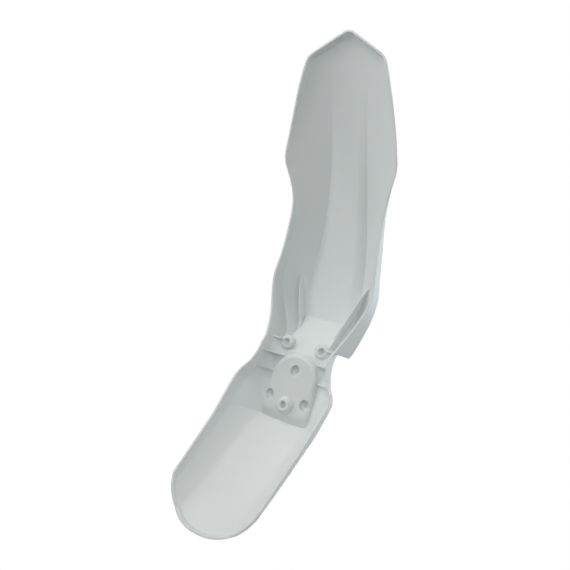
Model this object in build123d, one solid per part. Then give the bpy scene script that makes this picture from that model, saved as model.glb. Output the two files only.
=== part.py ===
from build123d import *
from math import copysign, cos, pi, sin
import os

# Motorcycle front mudguard, one moulded polypropylene shell.
# Millimetres. Z = 0 is the flat seat that bolts up under the lower fork crown,
# +Z is along the bolts, -Y is the nose, +Y the rear blade, X is across the bike.

# Shell
WALL = 2.5            # skin, measured in the cross-section
RIM_WALL = 2.8        # upright rim and side walls of the front half
BASE_Z = -260.0       # floor of the filled blocks, well under every rim
TOP_Z = 120.0         # well over everything
REACH = 106.0         # half width of the front block, wider than any rim
CUT_X = 130.0         # half width of cuts drawn across the bike
SPARE = 5.0           # run of a cut or a block past the face that it meets
TINY = 0.01           # slack when faces and corners are picked
LOW = (Align.CENTER, Align.CENTER, Align.MIN)   # round pieces stand on their lower end

# Bolts
BOLT_X = 30.0         # half spacing of both outer pairs
FRONT_Y = -37.5       # front pair of open bosses
REAR_Y = 43.5         # rear pair of recessed holes
TAIL_Y = 51.5         # single open boss behind the centre hole
COLLAR_R = 5.2        # open bosses take a steel collar
BOLT_R = 3.3          # recessed holes take the bare bolt
HEAD_R = 8.0          # recesses in the pad, for the bolt heads
CROWN_R = 7.0         # recesses over the front bosses, for the crown's own bosses
BOSS_WALL = 2.5
HEAD_FLOOR = -5.0     # floor of the recesses in the pad

# Levels of the mounting deck
DECK_Z = -3.0         # underside of the deck plate
PAD_Z = -10.0         # face of the stiffened pad under the deck
PAD_TOP_Z = -2.5      # top of the pad, inside the deck plate
FRONT_MOUTH_Z = -6.0
TAIL_MOUTH_Z = -17.0
SEAT = (84, -25, 66)  # seat width, front and rear edge; it stands proud of the skin

# Front surface, control stations evenly spaced from nose to neck. Each holds the floor height,
# floor half width, crease half width, crease rise, fall of the wing per mm and crease sharpness.
CAMBER = 0.0044       # roundness of the plain arch near the nose
FLOOR_DISH = 0.3      # dip of the wedge's floor, as a share of the crease rise
SLOPE_START = (0.4, 0.15)   # start of the slope up to the crease, as shares of its width and rise
WING_CROWN = 1.5      # roundness of the wing beside the crease
FRONT_SPAN = (-485, -36)
FRONT = [
    (-150, 16, 28, 0.0, 0.50, 0.0),
    (-106, 16, 28, 0.0, 0.50, 0.0),
    (-60, 16, 29, -1.0, 0.50, -0.3),
    (-4, 16, 25, -2.0, 0.50, 0.1),
    (10, 14, 33, 12.0, 0.95, 2.1),
    (38, 34, 50, 4.0, 0.82, 0.6),
    (48, 38, 54, 3.5, 0.82, 1.05),
    (35, 30, 43, 2.0, 0.05, 1.0),
]

# Front rim in plan (x, y), from the nose to the waist
NOSE = (0, -467.4)
NOSE_CORNER = (60, -432.6)
FLANK_MIDDLE = (78.5, -370)
HIP = [(92, -308), (91.3, -295)]
WAIST = [(81.5, -270), (77.2, -243), (79.3, -198), (81.6, -165), (85.3, -138), (75.8, -91), (61, -46),
         (57, -30)]
NOSE_ROUND = 16
CORNER_ROUND = 20
EDGE_ROUND = 7        # outer rounding between roof and rim
INSET_STEPS = 10      # points that carry a plan curve inward
# Front rim seen from the side (y, z)
FRONT_RIM = [(-490, -152), (-462, -143), (-428, -132.5), (-346, -88), (-300, -64), (-257, -36), (-228, -26),
             (-167, -13.5), (-121, -8.8), (-75, -11), (-44, -22), (-28, -31)]

# Rear surface in four joined spans. Each control station holds y, floor height and half width,
# knuckle (x, z) between wall and flange, and a point (x, z) on the flange.
NECK_END = (-45, DECK_Z, 51, 56.5, -8, 57.6, -23.5)
FLARE_END = (16, DECK_Z, 46, 68.3, -14, 71.6, -34.5)
CORNER_END = (37, DECK_Z, 44.5, 75.0, -21, 77.4, -42)
BEND = (74, DECK_Z, 43.5, 74.0, -40.5, 75.0, -61.5)
REAR = [
    [NECK_END, (-30, DECK_Z, 49.5, 52.5, -10, 53.2, -31), (-12, DECK_Z, 48, 52.5, -11, 53.5, -32.3),
     (6, DECK_Z, 47, 61.2, -13, 63.8, -33.5), FLARE_END],
    [FLARE_END, (25.5, DECK_Z, 45.3, 75.3, -15, 78.6, -36.5), CORNER_END],
    [CORNER_END, (56, DECK_Z, 44, 75.4, -31.5, 76.9, -52), BEND],
    [BEND, (157, -76, 43.2, 69.5, -98, 69.4, -114), (240, -149, 43, 64.5, -175, 64.8, -187)],
]
FLOOR_ROUND = 7       # soft corner between floor and wall
KNUCKLE_ROUND = 6     # soft corner between wall and flange
ROUND_SHARE = 0.42    # the most of a narrow wall that each of them takes
WALL_CAMBER = 0.04    # roundness of the wall, as a share of its width
FLANGE_SPARE = 14     # flange drawn below the rim before the rim is cut
REAR_RIM = [(-50, -18.5), (-28, -31), (2, -32.8), (25, -36.5), (56, -52), (90, -70), (130, -97),
            (172, -125.5), (189, -129.5), (211, -131), (225, -140), (240, -153)]
END_Y = 225.5         # rear end of the blade on the centre line
END_START = 150       # where the rounded end leaves the straight sides
END_HALF = 73.4       # half width of the blade there
END_POWER = 2.25      # fullness of the end, 2 for an ellipse
END_STEPS = 5         # points on each half of the end

# Pocket for the fork crown, between two shoulders
RAMP_TOP = (-88, 39.5)      # underside of the ramp where it leaves the roof (y, z)
RAMP_FOOT = (-27, DECK_Z)   # underside of the ramp where it meets the deck
RAMP_SPARE = 0.3            # share of its length drawn past both ends
FIN_PATH = [(64, -158), (31, -60)]   # inner faces of the fins in plan, then straight back
FIN_EDGE = [(-160, 30), (-128, 22), (-62, 22)]   # free edge of the fins (y, z)
FIN = 2.4
POCKET_X = FIN_PATH[-1][0]
STEP_Y = -39.5              # back wall of the shoulders
STEP_EDGE_Z = -7.0          # its lower edge under the deck
SHOULDER_LINE = [(-80, 61), (-30, 19)]   # sloped tail of the shoulders (y, z)

# Pad and ribs under the deck
PAD_CENTRE_Y = 13.5
PAD_FACE = (35, 37.5, 62)   # front radius, rear half width, rear edge
PAD_FOOT = (40, 40, 76)
PAD_BULGE = 3               # bow of the rear edge
PAD_CORNER = 9              # rounding of its rear corners
PAD_EDGE = 2                # slant round its face
RIBS = [(-17, (57, -23), (28, -5)), (9, (66, -16), (38, -6))]   # y, edge at the wall, edge at the pad
RIB = 2.2
FRONT_RADII = (12.0, 8.0)   # front bosses at the deck and at their mouths
TAIL_RADII = (13.0, 8.5)    # tail boss at the pad and at its mouth


def offset_points(points, distance):
    """Moves an open chain of (x, z) points to its upper side by a distance, with mitred corners."""
    vectors = [Vector(b[0] - a[0], b[1] - a[1]).normalized() for a, b in zip(points, points[1:])]
    normals = [Vector(-v.Y, v.X) for v in vectors]
    moved = []
    for i, (x, z) in enumerate(points):
        before = normals[max(i - 1, 0)]
        after = normals[min(i, len(normals) - 1)]
        middle = (before + after).normalized()
        step = distance / middle.dot(after)
        moved.append((x + middle.X * step, z + middle.Y * step))
    return moved


def whole_chain(half, lift):
    """A half section, from the centre line to +X, with its mirror image, lifted off the inner surface."""
    return offset_points([(-x, z) for x, z in reversed(half[1:])] + half, lift)


def block(stations):
    """Fills the space under a curved surface drawn from control sections (y, chain of (x, z)).

    Every third point of a chain starts the next of its joined parabolas.
    """
    faces = []
    starts = range(0, len(stations[0][1]) - 1, 2)
    for i in starts:
        strip = [[(x, y, z) for x, z in chain[i:i + 3]] for y, chain in stations]
        faces.append(Face.make_bezier_surface(strip))
    for end in (0, -1):
        side = [[(c[end][0], y, c[end][1]), (c[end][0], y, BASE_Z)] for y, c in stations]
        faces.append(Face.make_bezier_surface(side))
    floor = [[(c[0][0], y, BASE_Z), (c[-1][0], y, BASE_Z)] for y, c in stations]
    faces.append(Face.make_bezier_surface(floor))
    for y, chain in (stations[0], stations[-1]):
        points = [Vector(x, y, z) for x, z in chain]
        low = [Vector(p.X, y, BASE_Z) for p in (points[-1], points[0])]
        closing = Polyline(points[-1], *low, points[0])
        faces.append(make_face([Bezier(*points[i:i + 3]) for i in starts] + [closing]).face())
    return Solid(Shell(faces))


def front_chain(station, lift):
    """Control points of one front section: a plain arch blended into a creased wedge."""
    floor_z, floor_x, crease_x, rise, fall, sharp = station
    start_x, start_rise = SLOPE_START
    mid_x = floor_x + start_x * (crease_x - floor_x)
    wing_x = (crease_x + REACH) / 2
    arch = [
        (0, floor_z + CAMBER * floor_x ** 2),
        (floor_x, floor_z - CAMBER * floor_x ** 2),
        (mid_x, floor_z - CAMBER * floor_x * crease_x),
        (crease_x, floor_z - CAMBER * crease_x ** 2),
        (wing_x, floor_z - CAMBER * crease_x * REACH),
        (REACH, floor_z - CAMBER * REACH ** 2),
    ]
    crease_z = floor_z + rise
    tip_z = crease_z - fall * (REACH - crease_x)
    wedge_z = [floor_z - FLOOR_DISH * rise, floor_z, floor_z + start_rise * rise, crease_z,
               (crease_z + tip_z) / 2 + WING_CROWN, tip_z]
    return whole_chain([(x, z + sharp * (w - z)) for (x, z), w in zip(arch, wedge_z)], lift)


def round_upper_edge(filled, radius):
    """Rounds the edge between a roof and the upright sides under it."""
    upright = filled.faces().filter_by(lambda f: abs(f.normal_at().Z) < TINY and f.normal_at().Y < 1 - TINY)
    upper = [e for e in upright.edges() if min((e @ 0).Z, (e @ 1).Z) > BASE_Z + SPARE]
    return fillet(upper, radius)


def front_block(lift, inset, edge=0):
    """The filled front half inside its plan outline, with its upper edge rounded and sloped shoulders."""
    first, last = FRONT_SPAN
    pitch = (last - first) / (len(FRONT) - 1)
    filled = block([(first + i * pitch, front_chain(s, lift)) for i, s in enumerate(FRONT)])
    filled = filled & plan_prism(front_outline(inset))
    if edge:
        filled = round_upper_edge(filled, edge)
    return filled - side_prism([(y, z + lift) for y, z in SHOULDER_LINE])


def rear_chain(station, lift):
    """Control points of one rear section: flat floor, leaning wall and steeper flange, with soft corners."""
    y, floor_z, floor_x, knuckle_x, knuckle_z, rim_x, rim_z = station
    floor, knuckle, rim = Vector(floor_x, floor_z), Vector(knuckle_x, knuckle_z), Vector(rim_x, rim_z)
    wall = (knuckle - floor).normalized()
    flange = (rim - knuckle).normalized()
    most = ROUND_SHARE * (knuckle - floor).length
    floor_round, knuckle_round = min(FLOOR_ROUND, most), min(KNUCKLE_ROUND, most)
    wall_ends = floor + wall * floor_round, knuckle - wall * knuckle_round
    camber = Vector(-wall.Y, wall.X) * (wall_ends[1] - wall_ends[0]).length * WALL_CAMBER
    flange_ends = knuckle + flange * knuckle_round, rim + flange * FLANGE_SPARE
    half = [
        Vector(0, floor_z),
        floor - Vector(floor_round, 0),
        floor,
        wall_ends[0],
        (wall_ends[0] + wall_ends[1]) / 2 + camber,
        wall_ends[1],
        knuckle,
        flange_ends[0],
        (flange_ends[0] + flange_ends[1]) / 2,
        flange_ends[1],
    ]
    return whole_chain([(p.X, p.Y) for p in half], lift)


def rear_block(lift):
    """The filled rear half: neck, flare, corner and blade."""
    spans = [block([(station[0], rear_chain(station, lift)) for station in span]) for span in REAR]
    return spans[0].fuse(*spans[1:])


def plan_prism(face):
    """A flat plan outline drawn up through the whole part."""
    return extrude(Pos(0, 0, BASE_Z - SPARE) * face, TOP_Z - BASE_Z + SPARE, dir=(0, 0, 1))


def side_prism(points, curve=False):
    """The space above a side-view line (y, z), drawn across the bike."""
    verts = [Vector(-CUT_X, y, z) for y, z in points]
    line = Spline(*verts) if curve else Polyline(*verts)
    closing = Polyline(verts[-1], (-CUT_X, points[-1][0], TOP_Z), (-CUT_X, points[0][0], TOP_Z), verts[0])
    return extrude(make_face([line, closing]), 2 * CUT_X, dir=(1, 0, 0))


def both_sides(solid):
    """A solid on the +X side and its mirror image."""
    return [solid, mirror(solid, about=Plane.YZ)]


def inward(curve, at):
    """Unit vector towards the centre line, square to a plan curve that runs from nose to waist."""
    along = curve % at
    return Vector(-along.Y, along.X)


def inset_curves(curves, distance):
    """A chain of plan curves moved inward, with mitred corners and the nose kept on the centre line."""
    moves = [Vector(0, 1 / inward(curves[0], 0).Y)]
    for before, after in zip(curves, curves[1:]):
        pair = inward(before, 1), inward(after, 0)
        moves.append((pair[0] + pair[1]) / (1 + pair[0].dot(pair[1])))
    moves.append(inward(curves[-1], 1))
    chain = []
    for curve, first, last in zip(curves, moves, moves[1:]):
        ends = [curve @ 0 + first * distance, curve @ 1 + last * distance]
        if curve.geom_type == GeomType.LINE:
            chain.append(Line(*ends))
        else:
            steps = [i / INSET_STEPS for i in range(1, INSET_STEPS)]
            between = [curve @ t + inward(curve, t) * distance for t in steps]
            chain.append(Spline(ends[0], *between, ends[1]))
    return chain


def front_outline(inset):
    """Plan of the front rim, moved inward by an inset and cut straight across at the waist."""
    nose_side, flank = Line(NOSE, NOSE_CORNER), Spline(NOSE_CORNER, FLANK_MIDDLE, HIP[0])
    curves = inset_curves([nose_side, flank, Line(*HIP), Spline(HIP[1], *WAIST)], inset)
    back = curves[-1] @ 1
    nose, corner = curves[0] @ 0, curves[0] @ 1
    half = make_face(curves + [Polyline(back, (0, back.Y), nose)])
    whole = half + mirror(half, about=Plane.YZ)
    whole = fillet(whole.vertices().filter_by(lambda v: abs(v.Y - corner.Y) < TINY), CORNER_ROUND - inset)
    return fillet(whole.vertices().sort_by(Axis.Y)[0:1], NOSE_ROUND - inset)


def blade_outline(inset):
    """Plan of the rear half: wide open sides, closed by a full round end that is moved inward by an inset."""
    half, length = END_HALF - inset, END_Y - END_START - inset
    points = []
    for i in range(2 * END_STEPS + 1):
        turn = pi * i / (2 * END_STEPS)
        across, along = cos(turn), sin(turn)
        x = copysign(abs(across) ** (2 / END_POWER), across) * half
        points.append((x, END_START + along ** (2 / END_POWER) * length))
    end = make_face([Spline(*points), Line(points[-1], points[0])])
    sides = Pos(0, (END_START + NECK_END[0]) / 2, 0) * Rectangle(2 * REACH, END_START - NECK_END[0])
    return end + sides


def slab(x, y, z):
    """A box between two values on each axis."""
    return Pos(sum(x) / 2, sum(y) / 2, sum(z) / 2) * Box(x[1] - x[0], y[1] - y[0], z[1] - z[0])


def over_ramp(lift):
    """The space above the ramp's underside, or above that face lifted square to itself."""
    run = Vector(RAMP_FOOT[0] - RAMP_TOP[0], RAMP_FOOT[1] - RAMP_TOP[1])
    up = Vector(-run.Y, run.X).normalized() * lift
    ends = [Vector(*RAMP_TOP) - run * RAMP_SPARE + up, Vector(*RAMP_FOOT) + run * RAMP_SPARE + up]
    return side_prism([(p.X, p.Y) for p in ends])


def ramp_hump(half, lift, low):
    """The foot of the ramp that runs on past the shoulders to the deck."""
    foot = slab((-half, half), (NECK_END[0], RAMP_FOOT[0] + SPARE), (low, TOP_Z))
    return foot - over_ramp(lift)


def filled_guard():
    """Everything under the outer surface, with the pocket between the shoulders cut out."""
    front = front_block(WALL, 0, EDGE_ROUND) & side_prism(FRONT_RIM, curve=True)
    pocket = over_ramp(WALL) & slab((-POCKET_X, POCKET_X), (FRONT_SPAN[0], 0), (BASE_Z, TOP_Z))
    front = front - pocket - side_prism([(STEP_Y, BASE_Z), (0, BASE_Z)])
    rear = rear_block(WALL) & plan_prism(blade_outline(0)) & side_prism(REAR_RIM)
    width, seat_front, seat_rear = SEAT
    seat = slab((-width / 2, width / 2), (seat_front, seat_rear), (DECK_Z, 0))
    return front + rear + ramp_hump(POCKET_X + FIN, WALL, DECK_Z) + seat


def fins():
    """Upright fins from the wings to the pocket, whose side walls they become."""
    line = [*FIN_PATH, (POCKET_X, STEP_Y + WALL)]
    plan = make_face(Polyline(*line, *reversed(offset_points(line, FIN)), line[0]))
    return both_sides(plan_prism(plan) & side_prism(FIN_EDGE + [(0, FIN_EDGE[-1][1])]))


def hollow_guard():
    """Everything under the inner surface, less what stands in the hollow."""
    front = front_block(0, RIM_WALL)
    wide = POCKET_X + FIN
    boxed_in = over_ramp(0) & slab((-wide, wide), (FRONT_SPAN[0], 0), (BASE_Z, TOP_Z))
    front = front - boxed_in - side_prism([(STEP_Y - WALL, BASE_Z), (0, BASE_Z)])
    for fin in fins():
        front = front - fin
    rear = rear_block(0) & plan_prism(blade_outline(RIM_WALL))
    return front + rear + ramp_hump(POCKET_X, 0, DECK_Z - SPARE)


def pad_outline(size, z):
    """The pad in plan: a round front, straight flanks and a bowed rear edge."""
    radius, half, rear = size
    front = ThreePointArc((-radius, PAD_CENTRE_Y), (0, PAD_CENTRE_Y - radius), (radius, PAD_CENTRE_Y))
    flanks = [Line((x * radius, PAD_CENTRE_Y), (x * half, rear)) for x in (-1, 1)]
    back = ThreePointArc((-half, rear), (0, rear + PAD_BULGE), (half, rear))
    plan = make_face([front, back, *flanks])
    plan = fillet(plan.vertices().filter_by(lambda v: abs(v.Y - rear) < TINY), PAD_CORNER)
    return Pos(0, 0, z) * plan


def boss(x, y, radii, mouth_z, foot_z):
    """A flared boss from its mouth up to the face that it stands on."""
    foot_r, mouth_r = radii
    return Pos(x, y, mouth_z) * Cone(mouth_r, foot_r, foot_z - mouth_z, align=LOW)


def under_deck():
    """What stands under the deck: pad, bosses and ribs."""
    pad = loft([pad_outline(PAD_FACE, PAD_Z), pad_outline(PAD_FOOT, PAD_TOP_Z)], ruled=True)
    solids = [chamfer(pad.faces().sort_by(Axis.Z)[0].edges(), PAD_EDGE)]
    solids.append(boss(0, TAIL_Y, TAIL_RADII, TAIL_MOUTH_Z, PAD_Z))
    solids.append(Pos(0, TAIL_Y, PAD_Z) * Cylinder(TAIL_RADII[0], -PAD_Z, align=LOW))
    for x in (-BOLT_X, BOLT_X):
        solids.append(boss(x, FRONT_Y, FRONT_RADII, FRONT_MOUTH_Z, DECK_Z))
        solids.append(Pos(x, FRONT_Y, DECK_Z) * Cylinder(CROWN_R + BOSS_WALL, TOP_Z, align=LOW))
    for y, wall_edge, pad_edge in RIBS:
        points = [wall_edge, (REACH, wall_edge[1]), (REACH, 0), (pad_edge[0], 0), pad_edge, wall_edge]
        face = make_face(Polyline(*[(x, y - RIB / 2, z) for x, z in points]))
        solids += both_sides(extrude(face, RIB, dir=(0, 1, 0)))
    step = slab((POCKET_X, REACH), (STEP_Y - WALL, STEP_Y), (STEP_EDGE_Z, TOP_Z))
    return solids + both_sides(step)


def bolt_holes():
    """Through holes, the recesses over the front bosses and the recesses in the pad."""
    holes = []
    for x, y, radius in [(-BOLT_X, FRONT_Y, COLLAR_R), (BOLT_X, FRONT_Y, COLLAR_R), (0, TAIL_Y, COLLAR_R),
                         (-BOLT_X, REAR_Y, BOLT_R), (BOLT_X, REAR_Y, BOLT_R), (0, 0, BOLT_R)]:
        holes.append(Pos(x, y, BASE_Z) * Cylinder(radius, TOP_Z - BASE_Z, align=LOW))
        if radius == BOLT_R:
            holes.append(Pos(x, y, PAD_Z - SPARE) * Cylinder(HEAD_R, HEAD_FLOOR - PAD_Z + SPARE, align=LOW))
        if y == FRONT_Y:
            holes.append(Pos(x, y, 0) * Cylinder(CROWN_R, TOP_Z, align=LOW))
    return holes


def front_mudguard():
    hollow = hollow_guard()
    for solid in under_deck():
        hollow = hollow - solid
    guard = filled_guard() - hollow
    for hole in bolt_holes():
        guard = guard - hole
    return guard


os.makedirs("parts", exist_ok=True)
guard = front_mudguard()
print("solids", len(guard.solids()), "valid", guard.is_valid, "volume", round(guard.volume))
export_step(guard, "parts/front_mudguard.step")
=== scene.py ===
from math import pi

import bmesh
import bpy
from mathutils import Matrix, Vector


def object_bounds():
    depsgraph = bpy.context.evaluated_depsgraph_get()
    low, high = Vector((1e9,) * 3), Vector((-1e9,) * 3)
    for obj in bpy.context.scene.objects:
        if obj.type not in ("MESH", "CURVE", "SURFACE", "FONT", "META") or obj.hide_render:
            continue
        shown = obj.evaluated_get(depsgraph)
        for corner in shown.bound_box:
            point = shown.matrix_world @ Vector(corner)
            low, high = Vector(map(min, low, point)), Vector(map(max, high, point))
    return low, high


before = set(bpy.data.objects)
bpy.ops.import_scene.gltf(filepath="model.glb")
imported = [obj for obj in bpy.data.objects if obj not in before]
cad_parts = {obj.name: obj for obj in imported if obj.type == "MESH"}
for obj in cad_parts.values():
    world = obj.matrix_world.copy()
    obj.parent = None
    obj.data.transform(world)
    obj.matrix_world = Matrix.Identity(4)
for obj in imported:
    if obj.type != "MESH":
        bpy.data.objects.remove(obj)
CAD_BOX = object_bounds()

# Motorcycle front mudguard, seen from below, with its hollow side towards the camera.
# Metres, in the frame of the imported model.

# Camera
IMAGE_PX = 570
FOCAL_PX = 597.45
SENSOR_MM = 36.0
CAMERA_AT = Vector((0.41509, -0.02121, -0.79348))
CAMERA_RIGHT = Vector((0.83422, -0.29067, 0.46860))
CAMERA_UP = Vector((-0.19679, -0.95076, -0.23942))
CAMERA_NEAR = 0.01

# Moulded polypropylene, white and a little cool
SHELL_WHITE = (0.785, 0.815, 0.803, 1)
SHELL_SHADE = (0.755, 0.79, 0.783, 1)
FLOW_SCALE = 16.0              # cloudy tone of the moulding, per metre
FLOW_DETAIL = 3.0
FLOW_SPAN = (0.3, 0.7)         # part of the cloudy tone that the roughness follows
GRAIN_SCALE = 1300.0           # fine texture of the hollow side
GRAIN_DETAIL = 2.0
GRAIN_DEPTH = 0.00015
GRAIN_SHARE = (0.10, 0.01)     # in the hollow, and on the outer side
EDGE_SOFTNESS = 0.0014         # radius that softens every edge
EDGE_SAMPLES = 6
SHOW_ROUGHNESS = (0.20, 0.27)  # polished outer side
HOLLOW_ROUGHNESS = (0.42, 0.52)
PLASTIC_IOR = 1.49
LIGHT_REACH = 0.0045           # how far light spreads inside the plastic
LIGHT_SPREAD = (0.95, 1.0, 1.03)
LIGHT_SHARE = 0.9
AXLE = (0, -0.13, -0.45)       # wheel axle, which the hollow side faces
SIDE_SPAN = (-0.08, 0.12)      # how far a face turns from the axle where the hollow ends

# Stage
WHITE = (1, 1, 1, 1)
PALE = (0.9, 0.9, 0.9, 1)
PALE_ROUGHNESS = 0.7
FLOOR_SIZE = 6.0
FLOOR_GAP = 0.0005
FLOOR_FADE = (0.7, 2.2)        # the floor melts into the white studio between these radii
FLOOR_GLOW = 0.32              # lifts the floor towards white where it is looked at or mirrored
# Bolt holes through the deck: x, y and radius
BOLT_HOLES = [(-0.030, -0.0375, 0.0052), (0.030, -0.0375, 0.0052), (0, 0.0515, 0.0052),
              (-0.030, 0.0435, 0.0033), (0.030, 0.0435, 0.0033), (0, 0, 0.0033)]
BENCH_GAP = 0.0005
BENCH_LAP = 0.0015
BENCH_SIDES = 32
WORLD_LIGHT = 0.2
# Name, direction from the object, distance, size, watts and colour of each lamp
LAMPS = [
    ("key", (-0.35, -0.75, -0.55), 1.1, 0.8, 4.8, (1, 1, 1)),
    ("front_fill", (0.5, -0.4, -0.75), 1.8, 1.2, 7.0, (1, 1, 1)),
    ("left_fill", (-0.8, 0.0, -0.6), 1.8, 1.2, 8.6, (1, 1, 1)),
    ("right_side", (0.7, -0.75, 0.1), 1.8, 1.2, 2.2, (0.88, 0.96, 1)),
    ("top_right", (0.6, -0.2, 0.8), 1.8, 1.2, 7.0, (0.82, 0.94, 1)),
    ("top_left", (-0.4, 0.15, 0.9), 1.8, 1.4, 10.5, (1, 1, 1)),
]

# Sockets of the Mix node, whose names repeat for values and colours
VALUE_A, VALUE_B, VALUE_OUT = 2, 3, 0
COLOUR_A, COLOUR_B, COLOUR_OUT = 6, 7, 2


def add_node(tree, kind, **values):
    """A shader node with its sockets or properties set by name."""
    node = tree.nodes.new(kind)
    for name, value in values.items():
        key = name.replace("_", " ").title()
        if key in node.inputs:
            node.inputs[key].default_value = value
        else:
            setattr(node, name, value)
    return node


def map_span(tree, source, from_span=(0.0, 1.0), to_span=(0.0, 1.0), **values):
    """The source carried from one span of values to another."""
    node = add_node(tree, "ShaderNodeMapRange", **values)
    node.inputs["From Min"].default_value, node.inputs["From Max"].default_value = from_span
    node.inputs["To Min"].default_value, node.inputs["To Max"].default_value = to_span
    tree.links.new(source, node.inputs["Value"])
    return node.outputs["Result"]


def largest(tree, first, second):
    node = add_node(tree, "ShaderNodeMath", operation="MAXIMUM")
    tree.links.new(first, node.inputs[0])
    tree.links.new(second, node.inputs[1])
    return node.outputs["Value"]


def show_side(tree, place):
    """1 on the polished outer side, 0 on the hollow side that faces the axle."""
    links = tree.links
    from_axle = add_node(tree, "ShaderNodeVectorMath", operation="SUBTRACT")
    from_axle.inputs[1].default_value = AXLE
    outward = add_node(tree, "ShaderNodeVectorMath", operation="NORMALIZE")
    facing = add_node(tree, "ShaderNodeVectorMath", operation="DOT_PRODUCT")
    links.new(place.outputs["Object"], from_axle.inputs[0])
    links.new(from_axle.outputs["Vector"], outward.inputs[0])
    links.new(outward.outputs["Vector"], facing.inputs[0])
    links.new(place.outputs["Normal"], facing.inputs[1])
    return map_span(tree, facing.outputs["Value"], from_span=SIDE_SPAN)


def moulded_plastic():
    """White shell: cloudy tone, polished outer side, satin hollow side with a fine grain, soft edges."""
    material = bpy.data.materials.new("moulded_polypropylene")
    material.use_nodes = True
    tree = material.node_tree
    links = tree.links
    shader = tree.nodes["Principled BSDF"]
    place = tree.nodes.new("ShaderNodeTexCoord")
    clouds = add_node(tree, "ShaderNodeTexNoise", scale=FLOW_SCALE, detail=FLOW_DETAIL)
    tone = add_node(tree, "ShaderNodeMix", data_type="RGBA")
    tone.inputs[COLOUR_A].default_value = SHELL_WHITE
    tone.inputs[COLOUR_B].default_value = SHELL_SHADE
    links.new(place.outputs["Object"], clouds.inputs["Vector"])
    links.new(clouds.outputs["Fac"], tone.inputs["Factor"])
    links.new(tone.outputs[COLOUR_OUT], shader.inputs["Base Color"])

    show = show_side(tree, place)
    gloss = add_node(tree, "ShaderNodeMix")
    links.new(show, gloss.inputs["Factor"])
    for socket, roughness in ((VALUE_A, HOLLOW_ROUGHNESS), (VALUE_B, SHOW_ROUGHNESS)):
        links.new(map_span(tree, clouds.outputs["Fac"], FLOW_SPAN, roughness), gloss.inputs[socket])
    links.new(gloss.outputs[VALUE_OUT], shader.inputs["Roughness"])

    grain = add_node(tree, "ShaderNodeTexNoise", scale=GRAIN_SCALE, detail=GRAIN_DETAIL)
    soft_edge = add_node(tree, "ShaderNodeBevel", samples=EDGE_SAMPLES, radius=EDGE_SOFTNESS)
    bump = add_node(tree, "ShaderNodeBump", distance=GRAIN_DEPTH)
    links.new(place.outputs["Object"], grain.inputs["Vector"])
    links.new(map_span(tree, show, to_span=GRAIN_SHARE), bump.inputs["Strength"])
    links.new(grain.outputs["Fac"], bump.inputs["Height"])
    links.new(soft_edge.outputs["Normal"], bump.inputs["Normal"])
    links.new(bump.outputs["Normal"], shader.inputs["Normal"])

    shader.inputs["IOR"].default_value = PLASTIC_IOR
    shader.inputs["Subsurface Weight"].default_value = LIGHT_SHARE
    shader.inputs["Subsurface Radius"].default_value = LIGHT_SPREAD
    shader.inputs["Subsurface Scale"].default_value = LIGHT_REACH
    return material


def dress_shell():
    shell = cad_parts["front_mudguard"]
    shell.data.materials.clear()
    shell.data.materials.append(moulded_plastic())


def add_camera():
    camera = bpy.data.objects.new("camera", bpy.data.cameras.new("camera"))
    back = CAMERA_RIGHT.cross(CAMERA_UP)
    turn = Matrix((CAMERA_RIGHT, CAMERA_UP, back)).transposed()
    camera.matrix_world = Matrix.Translation(CAMERA_AT) @ turn.to_4x4()
    camera.data.sensor_width = SENSOR_MM
    camera.data.lens = SENSOR_MM * FOCAL_PX / IMAGE_PX
    camera.data.clip_start = CAMERA_NEAR
    bpy.context.scene.collection.objects.link(camera)
    bpy.context.scene.camera = camera


def add_lamp(name, towards, distance, size, watts, colour):
    """A soft square lamp on the given side of the object."""
    middle = (CAD_BOX[0] + CAD_BOX[1]) / 2
    lamp = bpy.data.lights.new(name, "AREA")
    lamp.size = size
    lamp.energy = watts
    lamp.color = colour
    holder = bpy.data.objects.new(name, lamp)
    holder.location = middle + Vector(towards).normalized() * distance
    holder.rotation_euler = (middle - holder.location).to_track_quat("-Z", "Y").to_euler()
    bpy.context.scene.collection.objects.link(holder)


def add_world():
    """White where it is looked at or mirrored, softer where it lights the object."""
    world = bpy.data.worlds.new("studio")
    bpy.context.scene.world = world
    world.use_nodes = True
    tree = world.node_tree
    rays = tree.nodes.new("ShaderNodeLightPath").outputs
    background = tree.nodes["Background"]
    background.inputs["Color"].default_value = WHITE
    seen = largest(tree, rays["Is Camera Ray"], rays["Is Glossy Ray"])
    seen = largest(tree, seen, rays["Is Transmission Ray"])
    level = map_span(tree, seen, to_span=(WORLD_LIGHT, 1.0))
    tree.links.new(level, background.inputs["Strength"])


def pale_sheet(name):
    """Pale matt sheet, seen from its front only."""
    material = bpy.data.materials.new(name)
    material.use_nodes = True
    tree = material.node_tree
    shader = tree.nodes["Principled BSDF"]
    shader.inputs["Base Color"].default_value = PALE
    shader.inputs["Roughness"].default_value = PALE_ROUGHNESS
    clear = tree.nodes.new("ShaderNodeBsdfTransparent")
    side = tree.nodes.new("ShaderNodeNewGeometry")
    mix = tree.nodes.new("ShaderNodeMixShader")
    tree.links.new(side.outputs["Backfacing"], mix.inputs[0])
    tree.links.new(shader.outputs["BSDF"], mix.inputs[1])
    tree.links.new(clear.outputs["BSDF"], mix.inputs[2])
    tree.links.new(mix.outputs["Shader"], tree.nodes["Material Output"].inputs["Surface"])
    return material


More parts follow.
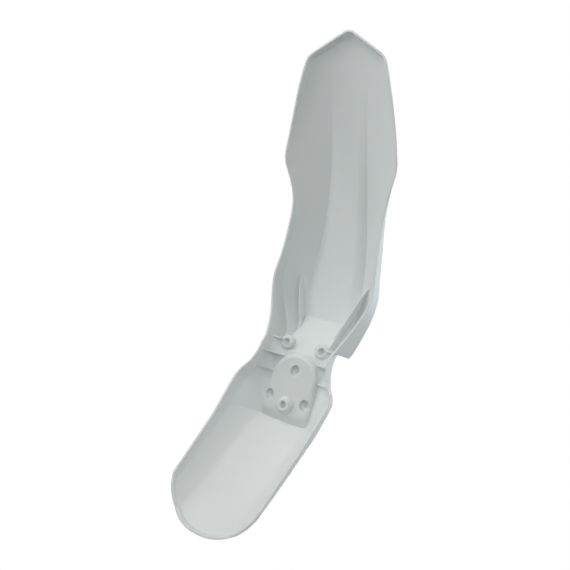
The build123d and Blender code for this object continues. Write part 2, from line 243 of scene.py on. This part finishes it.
def floor_sheet():
    """A pale sheet that glows a little where it is looked at, and melts away far from the object."""
    material = pale_sheet("pale_floor")
    tree = material.node_tree
    shader = tree.nodes["Principled BSDF"]
    side = tree.nodes["Geometry"]
    mix = tree.nodes["Mix Shader"]
    rays = tree.nodes.new("ShaderNodeLightPath").outputs
    seen = largest(tree, rays["Is Camera Ray"], rays["Is Glossy Ray"])
    shader.inputs["Emission Color"].default_value = WHITE
    tree.links.new(map_span(tree, seen, to_span=(0.0, FLOOR_GLOW)), shader.inputs["Emission Strength"])

    place = tree.nodes.new("ShaderNodeTexCoord")
    radius = add_node(tree, "ShaderNodeVectorMath", operation="LENGTH")
    tree.links.new(place.outputs["Object"], radius.inputs[0])
    fade = map_span(tree, radius.outputs["Value"], FLOOR_FADE, interpolation_type="SMOOTHSTEP")
    tree.links.new(largest(tree, fade, side.outputs["Backfacing"]), mix.inputs[0])
    return material


def add_stage_piece(name, mesh, material):
    piece = bpy.data.objects.new(name, mesh)
    mesh.materials.append(material)
    piece.visible_shadow = False
    piece.visible_diffuse = False
    bpy.context.scene.collection.objects.link(piece)


def add_floor():
    """A floor under the rims, open to the view and the light from below."""
    mesh = bpy.data.meshes.new("floor")
    half = FLOOR_SIZE / 2
    low = CAD_BOX[0].z - FLOOR_GAP
    corners = [(-half, -half, low), (half, -half, low), (half, half, low), (-half, half, low)]
    mesh.from_pydata(corners, [], [(0, 1, 2, 3)])
    add_stage_piece("floor", mesh, floor_sheet())


def add_bench():
    """The bench under the seat, in the deck's shade, seen only through the bolt holes from below."""
    discs = bmesh.new()
    for x, y, radius in BOLT_HOLES:
        at = Matrix.Translation((x, y, BENCH_GAP)) @ Matrix.Rotation(pi, 4, "X")
        bmesh.ops.create_circle(discs, cap_ends=True, segments=BENCH_SIDES,
                                radius=radius + BENCH_LAP, matrix=at)
    mesh = bpy.data.meshes.new("bench")
    discs.to_mesh(mesh)
    discs.free()
    add_stage_piece("bench", mesh, pale_sheet("shaded_bench"))


dress_shell()
add_camera()
add_world()
add_floor()
add_bench()
for lamp in LAMPS:
    add_lamp(*lamp)
bpy.context.scene.view_settings.view_transform = "Standard"
